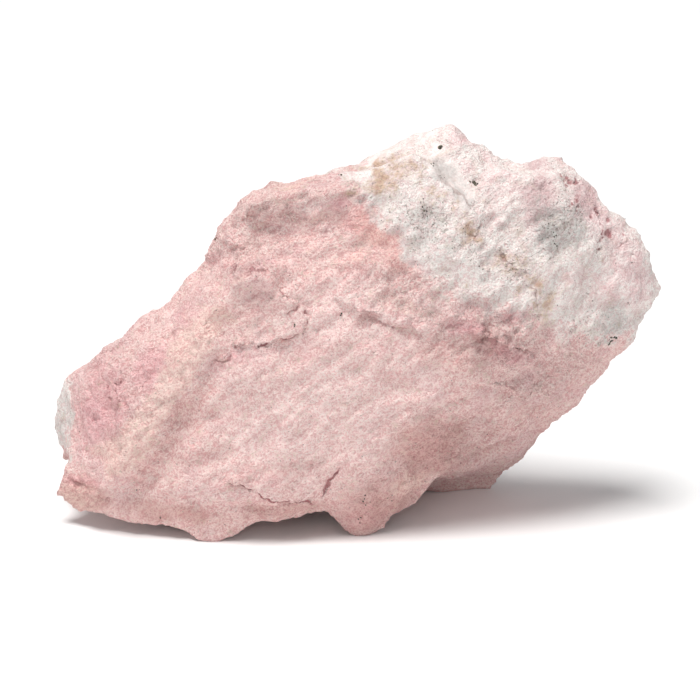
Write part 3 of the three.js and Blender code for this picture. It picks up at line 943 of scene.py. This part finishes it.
def grown(obj, group, values):
    """Runs the tree on the object, each input set by its socket's identifier."""
    modifier = obj.modifiers.new(group.name, "NODES")
    modifier.node_group = group
    for item in group.interface.items_tree:
        if item.in_out == "INPUT" and item.name in values:
            modifier[item.identifier] = values[item.name]
    obj.data.update_tag()
    return settled(obj, obj.name)


# %% Geometry Nodes for the relief
STREAK_ANGLE = math.radians(37)
RELIEF_SIZES = {
    "Lump size": 5.5, "Lump height": 1.9, "Streak size": 1.3, "Streak length": 2.6,
    "Streak height": 1.0, "Grain size": 0.7, "Grain height": 0.6,
}
RIDGE_SIZE = 0.45
RIDGE_HEIGHT = 0.9
STILL_TO_FREE = (0.1, 1.6)

kinds = {name: "Float" for name in RELIEF_SIZES}
relief, bench, size = new_group("stone relief", {**kinds, "Material": "Material"})
position = bench.scaled(bench.node("GeometryNodeInputPosition"), 1 / MM)


def bumps(place, bump_size, detail=2.0):
    """Noise from -0.5 to 0.5 whose size is a wire rather than a number."""
    return bench.noise(place, bump_size, detail) - 0.5


streaked = bench.turned(position, STREAK_ANGLE, size["Streak length"])
lumps = bumps(position, size["Lump size"], 1.5)
streaks = bumps(streaked, size["Streak size"])
ridges = abs(bumps(streaked, size["Lump size"] * RIDGE_SIZE))
grain = bumps(position, size["Grain size"])

calm = 1 - bench.kept("clear") * 0.85
hard = bench.kept("quartz") * 0.3
rugged = bench.kept("rugged")
push = lumps * size["Lump height"]
push = push + streaks * size["Streak height"] * calm * (1 - hard + rugged * 1.6)
push = push - ridges * size["Streak height"] * RIDGE_HEIGHT
push = push + grain * size["Grain height"] * calm * (1 - hard) * (1 + rugged * 0.6)
up = bench.node("ShaderNodeSeparateXYZ", out="Z", Vector=position)
push = push * up.over(*STILL_TO_FREE)

direction = bench.node("GeometryNodeInputNormal")
offset = bench.scaled(direction, push * MM)
pushed = bench.node("GeometryNodeSetPosition", Geometry=size["Geometry"], Offset=offset)
finished(bench, pushed, size["Material"])

# %% [markdown]
# ## The stone's finish
#
# Rhodochrosite this pale is a mass of tiny crystals: matt, with no single pink
# but cream, rose and a grey mauve mixed at every scale. A flat pink would look
# like plastic. The material starts from three pinks mixed by streaks and grain,
# lays quartz, rust and the other masks over them, each edge broken up by its own
# noise, and ends with a fine bump for the crystals that the skin is too coarse
# to hold.


# %% Colours by their screen values
def paint(red, green, blue):
    """A colour given by its screen values, turned into the light values that shaders use."""
    found = [c / 255 for c in (red, green, blue)]
    return (*[c / 12.92 if c < 0.04045 else ((c + 0.055) / 1.055) ** 2.4 for c in found], 1.0)


PINK = paint(238, 199, 195)
CREAM = paint(245, 215, 210)
PALE_PINK_AND_LIGHT = paint(250, 221, 217)
DEEP_PINK_AND_SHADE = paint(212, 169, 163)
MAUVE = paint(231, 197, 197)
ROSE = paint(238, 178, 183)
SALMON_PINK = paint(240, 183, 172)
BUFF_PINK = paint(244, 209, 198)
WHITE_QUARTZ = paint(243, 232, 228)
SHADED_QUARTZ = paint(231, 218, 213)
CLEAR_GREY = paint(188, 183, 180)
BLUSH_PINK = paint(243, 213, 213)
DUSKY_PINK = paint(208, 176, 177)
RUST_GOLD = paint(196, 158, 128)
# the two stain colours also paint the shade inside the cracks
STAIN_AND_SHADE_RED = paint(168, 96, 100)
SPECK_GREY = paint(140, 128, 120)
STAIN_AND_SHADE_BROWN = paint(140, 112, 98)
# how much the hollows and the peaks of the grain multiply the colour: partly the crystals' own tint,
# partly painted shade in the hollows and painted light on the peaks
HOLLOW_TINT_AND_SHADE = (0.92, 0.77, 0.785, 1.0)
PEAK_TINT_AND_LIGHT = (1.12, 1.19, 1.18, 1.0)
print("pink as light:", [round(c, 2) for c in PINK[:3]])


# %% A material's bench
class Paint(Bench):
    """A material's node tree, with the few things that every finish here needs."""

    def __init__(self, name):
        self.material = bpy.data.materials.new(name)
        self.material.use_nodes = True
        super().__init__(self.material.node_tree)
        self.shader = self.tree.nodes["Principled BSDF"]
        place = self.node("ShaderNodeTexCoord", out="Object")
        self.place = self.scaled(place, 1 / MM)

    def mask(self, name):
        settings = {"attribute_name": name, "attribute_type": "GEOMETRY"}
        return self.node("ShaderNodeAttribute", settings, out="Fac")

    def mix(self, factor, first, second, blend="MIX"):
        settings = {"data_type": "RGBA", "blend_type": blend, "clamp_factor": True}
        sockets = {"Factor_Float": factor, "A_Color": first, "B_Color": second}
        return self.node("ShaderNodeMix", settings, out="Result_Color", **sockets)

    def finish(self, colour, roughness, bump_height, bump_depth):
        self.tree.links.new(colour.socket, self.shader.inputs["Base Color"])
        self.tree.links.new(roughness.socket, self.shader.inputs["Roughness"])
        bump = self.node("ShaderNodeBump", Height=bump_height, Strength=1.0, Distance=bump_depth * MM)
        self.tree.links.new(bump.socket, self.shader.inputs["Normal"])
        return self.material


print("a material's bench adds:", [name for name in vars(Paint) if not name.startswith("_")])

# %% Noises of the pale pink stone
CRYSTAL_SIZE = 0.36
CRUMB_SIZE = 0.46
SUGAR_SIZE = 0.20
SPECK_SIZE = 0.33

pink = Paint("pale pink stone")
place = pink.place
streak_place = pink.turned(place, STREAK_ANGLE, 2.0)
broad = pink.noise(place, 4.0, 3.0)
streak = pink.noise(streak_place, 1.1, 3.0, 0.6)
mottle = pink.noise(place, 1.6, 4.0, 0.65)
crumb = pink.noise(pink.turned(place, STREAK_ANGLE, 1.3), CRUMB_SIZE, 4.0, 0.7)
sugar = pink.noise(pink.turned(place, STREAK_ANGLE, 1.1), SUGAR_SIZE, 2.0, 0.7)
warp = pink.node("ShaderNodeTexNoise", out="Color", Vector=place, Scale=1.2, Detail=2.0)
warped = pink.node("ShaderNodeVectorMath", {"operation": "MULTIPLY_ADD"}, Vector=warp,
                   Vector_001=(0.25, 0.25, 0.25), Vector_002=pink.turned(place, STREAK_ANGLE, 1.7))
dome = 1 - pink.cells(warped, CRYSTAL_SIZE) * 1.5
crystal = pink.cells(warped, CRYSTAL_SIZE, "Color")


def ragged(name, *breaks):
    """A zone whose edge is broken up by noises, each with its strength."""
    edge = pink.mask(name)
    for breaking, strength in breaks:
        edge = edge + (breaking - 0.5) * strength
    return edge


print("noises:", len(pink.tree.nodes), "nodes")

# %% [markdown]
# ## Pink body and quartz end
#
# The body mixes pink and cream at the scale of sugar, and then takes its pale,
# deep, rosy, salmon and buff zones one after another, as thin washes over a
# ground. The deep wash is partly the stone's deeper pink and partly painted shade
# where the face turns down or away from the lamp, and the pale and buff washes
# along the crest are partly painted light on its lit flank. The quartz end is
# whiter, with a dusky blush, and its border is ragged because the two minerals
# grew into each other.

# %% Pink body
body = pink.mix((streak * 0.4 + sugar * 0.6).over(0.42, 0.60), PINK, CREAM)
body = pink.mix(broad.over(0.48, 0.68) * 0.5, body, MAUVE)
rosy = ragged("rosy", (streak, 1.2), (crumb, 1.4))
# edge, where the wash starts and is full, strength, colour
washes = [
    # paler pink, and painted light along the crest's lit flank
    (ragged("pale", (broad, 0.8), (streak, 0.7)), 0.1, 1.0, 0.85, PALE_PINK_AND_LIGHT),
    # deeper pink, partly painted shade where the face turns down or away
    (ragged("deep", (broad, 0.8), (streak, 0.8)), 0.15, 1.1, 0.85, DEEP_PINK_AND_SHADE),
    (rosy, 0.1, 1.2, 0.65, ROSE),
    (ragged("salmon", (streak, 1.2), (crumb, 1.4)), 0.1, 1.2, 0.55, SALMON_PINK),
    # buff, and along the crest partly painted light on its lit flank
    (ragged("buff", (crumb, 1.6), (broad, 0.8)), 0.2, 1.05, 0.6, BUFF_PINK),
]
for edge, start, full, strength, wash in washes:
    body = pink.mix(edge.over(start, full) * strength, body, wash)
print("washes on the body:", len(washes))

# %% Quartz end
quartz = pink.mix(mottle.over(0.42, 0.68), WHITE_QUARTZ, SHADED_QUARTZ)
blush = ragged("blush", (mottle, 1.8), (crumb, 1.0))
quartz = pink.mix(blush.over(0.2, 1.0) * 0.9, quartz, BLUSH_PINK)
quartz = pink.mix(rosy.over(0.2, 1.1) * 0.8, quartz, DUSKY_PINK)
cap_here = ragged("quartz", (mottle, 1.6), (crumb, 1.0)).over(0.12, 0.88)
colour = pink.mix(cap_here, body, quartz)
print("with quartz:", len(pink.tree.nodes), "nodes")

# %% [markdown]
# ## Grey, rust, sugar and cracks
#
# Clear quartz looks grey because light goes into it, rust sits on the surface,
# and pepper is the finest sulphide. The whole colour is multiplied by a tint from
# the grain, partly each crystal's own and partly painted shade in the grain's
# hollows and painted light on its peaks. The cracks come last: their dark line,
# partly red stain and partly painted shade inside the crack, follows the carved
# groove, whose distance was kept on the points. Clear grains are also glossier and
# less crumbly, which the roughness and the bump take from the same masks.

# %% Grey, rust and pepper
grey = ragged("grey", (crumb, 1.5), (mottle, 1.2))
colour = pink.mix(grey.over(0.15, 1.1) * (0.30 + cap_here * 0.4), colour, CLEAR_GREY)
rust = ragged("rust", (crumb, 2.2), (mottle, 2.6), (sugar, 1.6))
colour = pink.mix(rust.over(0.2, 1.3) * 0.75, colour, RUST_GOLD)
pepper = (pink.noise(place, SPECK_SIZE, 1.0) + pink.mask("speckled") * 0.16).over(0.70, 0.80)
colour = pink.mix(pepper * 0.55, colour, SPECK_GREY)
print("with rust and pepper:", len(pink.tree.nodes), "nodes")

# %% Tone of the grain, and the cracks
clear = pink.mask("clear")
grain = crystal * 0.10 + crumb * 0.36 + sugar * 0.54
# the grain's tint: partly the crystals' own, partly painted shade in its hollows and painted light on its
# peaks, from the same noises that drive the bump
grain_tint_and_shade = pink.mix(grain.over(0.40, 0.57), HOLLOW_TINT_AND_SHADE, PEAK_TINT_AND_LIGHT)
colour = pink.mix((1 - clear * 0.6) * (1 - cap_here * 0.2), colour, grain_tint_and_shade, "MULTIPLY")

gap = abs(pink.mask("crack gap") + (sugar - 0.5) * 1.2)
# the crack's dark line, partly red stain and partly painted shade inside the crack
crack = (1 - gap.over(0.35, 1.1)) * pink.mask("crack shade and stain")
stain = ragged("stain", (crumb, 1.2), (sugar, 0.9)).over(0.25, 0.9)
crack_shade_and_stain_paint = pink.mix(cap_here * 0.6, STAIN_AND_SHADE_RED, STAIN_AND_SHADE_BROWN)
colour = pink.mix(crack * 0.8, pink.mix(stain * 0.75, colour, STAIN_AND_SHADE_RED), crack_shade_and_stain_paint)
print("with cracks:", len(pink.tree.nodes), "nodes")

# %% Gloss and bump
STONE_ROUGHNESS = 0.88
STONE_BUMP = 0.25
STONE_SHINE = 0.3

roughness = STONE_ROUGHNESS - clear * 0.36 - grey.over(0.4, 1.2) * cap_here * 0.2 + (crumb - 0.5) * 0.12
bump_height = (crumb - 0.5) * 1.2 + (dome - 0.5) * 0.35 + (sugar - 0.5) * 1.2
bump_height = bump_height * (1 - clear * 0.7) * (1 - cap_here * 0.2)
bump_height = bump_height * (1 + pink.mask("rugged") * 0.6) - crack * 0.5
pale_pink_stone = pink.finish(colour, roughness, bump_height, STONE_BUMP)
pink.shader.inputs["Specular IOR Level"].default_value = STONE_SHINE
print("stone material:", len(pink.tree.nodes), "nodes")

# %% [markdown]
# ## Putting the skin together
#
# The relief tree runs once on the stone and its result is kept as a plain mesh.
# Relief moves points outwards as well as in, so the finished skin is brought
# back to the exact box of the CAD solid, which differs by tenths of a
# millimetre, and its lowest points are pressed flat on the table.

# %% Run the relief and fit the box
PRESSED = 0.12

stone_mesh = grown(stone, relief, {**RELIEF_SIZES, "Material": pale_pink_stone})
stone_mesh.shade_smooth()

place, facing = points_of(stone_mesh)
place[:, 2] = np.maximum(place[:, 2], place[:, 2].min() + PRESSED)
low, high = place.min(axis=0), place.max(axis=0)
print("box before fitting:", np.round(low, 2), np.round(high, 2))
place = stone_low + (place - low) * (stone_high - stone_low) / (high - low)
move_points(stone_mesh, place)
print("stone faces:", len(stone_mesh.polygons), "materials:", len(stone_mesh.materials))

# %% [markdown]
# ## Sulphide grains
#
# Black and olive specks of sulphide sit in the stone, a few large enough to see
# as crystals and many as small as pepper. Spots in the colour would do from far
# away, but they are hard little bodies that catch the light, so they are
# geometry. Geometry Nodes puts a twenty-faced crystal on every chosen point,
# turned and squashed at random from a fixed seed.

# %% Choose where the grains sit
GRAIN_SEED = 1859
FACES_FRONT = -0.2
PLACED_SPAN = (0.6, 1.3)
# x, z, spread of the spot, number of crystals, size of a crystal
PLACED_GRAINS = [
    (9.4, 43.0, 0.20, 5, 0.20), (8.6, 42.0, 0.16, 3, 0.13), (13.2, 39.4, 0.22, 8, 0.20),
    (28.7, 21.3, 0.26, 14, 0.17), (30.3, 25.5, 0.1, 2, 0.10), (22.0, 33.8, 0.5, 7, 0.10),
    (14.3, 31.0, 0.3, 5, 0.09), (7.7, 37.7, 0.5, 6, 0.10), (-1.5, 26.8, 0.14, 3, 0.12),
    (-11.4, 28.9, 0.1, 1, 0.10), (-6.5, 25.5, 0.14, 3, 0.13), (-1.4, 41.0, 0.16, 2, 0.14),
    (-15.2, 33.0, 0.15, 3, 0.12), (1.0, 4.5, 0.4, 5, 0.10), (0.4, 2.2, 0.4, 4, 0.10),
    (3.8, 4.4, 0.3, 3, 0.09), (7.2, 10.4, 0.2, 2, 0.10), (-24.2, 5.5, 0.2, 2, 0.09),
    (-30.8, 11.0, 0.2, 2, 0.09), (-21.5, 2.6, 0.2, 2, 0.10), (6.6, 31.9, 0.2, 2, 0.09),
    (7.0, 36.8, 1.9, 46, 0.06), (11.5, 34.8, 0.8, 12, 0.06), (17.5, 31.0, 1.4, 22, 0.06),
    (22.5, 35.5, 1.8, 40, 0.06), (11.5, 33.0, 1.0, 14, 0.06), (26.5, 23.0, 1.5, 12, 0.06),
]
# pepper lies anywhere above the feet, thickest on the quartz
PEPPER_COUNT = 260
PEPPER_SIZES = (0.03, 0.07)
PEPPER_ON_PINK = 0.25
PEPPER_FOOT = 1

shuffle = np.random.default_rng(GRAIN_SEED)
place, facing = points_of(stone_mesh)
front_points = np.flatnonzero(facing[:, 1] < FACES_FRONT)
spots = []
for spot_x, spot_z, spread, count, crystal_size in PLACED_GRAINS:
    off = np.hypot(place[front_points, 0] - spot_x, place[front_points, 2] - spot_z)
    middle = place[front_points[np.argmin(off)]]
    for _ in range(count):
        aim = middle + shuffle.normal(0, spread, 3)
        nearest = np.argmin(((place - aim) ** 2).sum(axis=1))
        above = (aim - place[nearest]) @ facing[nearest]
        spots.append((*(aim - above * facing[nearest]), shuffle.uniform(*PLACED_SPAN) * crystal_size))
quartz_share = np.empty(len(place), np.float32)
stone_mesh.attributes["quartz"].data.foreach_get("value", quartz_share)
chance = (PEPPER_ON_PINK + quartz_share) * (place[:, 2] > PEPPER_FOOT)
for index in shuffle.choice(len(place), PEPPER_COUNT, replace=False, p=chance / chance.sum()):
    spots.append((*place[index], shuffle.uniform(*PEPPER_SIZES)))

seeds = bpy.data.meshes.new("grain places")
spots = np.array(spots) * MM
seeds.from_pydata([tuple(spot) for spot in spots[:, :3]], [], [])
keep_on_points(seeds, "grain_size", spots[:, 3])
print(len(spots), "grains chosen")

# %% Geometry Nodes for the grains
FULL_TURN = 6.28
LONGEST_SIDE = 1.2
GRAIN_VALUES = {"Shortest side": 0.55, "Seed": 7}

kinds = {"Shortest side": "Float", "Seed": "Int", "Material": "Material"}
scatter, bench, size = new_group("grain scatter", kinds)
crystal = bench.node("GeometryNodeMeshIcoSphere", Radius=1.0, Subdivisions=1)
between = {"data_type": "FLOAT_VECTOR"}
turn = bench.node("FunctionNodeRandomValue", between, Max=(FULL_TURN,) * 3, Seed=size["Seed"])
side = size["Shortest side"]
shortest = bench.node("ShaderNodeCombineXYZ", X=side, Y=side, Z=side)
sides = {"Min": shortest, "Max": (LONGEST_SIDE,) * 3}
shape = bench.node("FunctionNodeRandomValue", between, **sides, Seed=size["Seed"] + 1)
scale = bench.scaled(shape, bench.kept("grain_size"))
spread = {"Points": size["Geometry"], "Instance": crystal, "Rotation": turn, "Scale": scale}
finished(bench, bench.node("GeometryNodeInstanceOnPoints", **spread), size["Material"])

# %% [markdown]
# ## The grains' finish
#
# Fresh sulphide is nearly black, and air turns it olive. One noise mixes the two
# colours, dulls the gloss and lifts the surface, because tarnish does all three.

# %% Sulphide finish, and grow the grains
BLACK = paint(38, 36, 34)
OLIVE = paint(104, 98, 78)
TARNISH_SIZE = 0.35
SULPHIDE_ROUGHNESS = 0.34
SULPHIDE_BUMP = 0.02
SULPHIDE_SHINE = 0.5

dark = Paint("dark sulphide")
tarnish = dark.noise(dark.place, TARNISH_SIZE, 3.0, 0.6)
colour = dark.mix(tarnish.over(0.35, 0.7), BLACK, OLIVE)
sulphide = dark.finish(colour, SULPHIDE_ROUGHNESS + tarnish * 0.3, tarnish, SULPHIDE_BUMP)
dark.shader.inputs["Specular IOR Level"].default_value = SULPHIDE_SHINE

grains = new_object("sulphide_grains", seeds)
grown(grains, scatter, {**GRAIN_VALUES, "Material": sulphide})
print("grain faces:", len(grains.data.polygons), "sulphide:", len(dark.tree.nodes), "nodes")

# %% [markdown]
# ## Handing over
#
# Both pieces ride on the stone's only body and stand for its CAD solid, which
# stays in the frame for weight and collisions. The last cell prints the finished
# stone's box, as the first printed the CAD one, so that the finished stone can be
# held against the CAD one.

# %% Hand the pieces over
for piece in (stone, grains):
    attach(piece, "root")
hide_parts("rhodochrosite_stone")

low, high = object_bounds()
print("visual box in mm:", [round(v / MM, 2) for v in low], [round(v / MM, 2) for v in high])
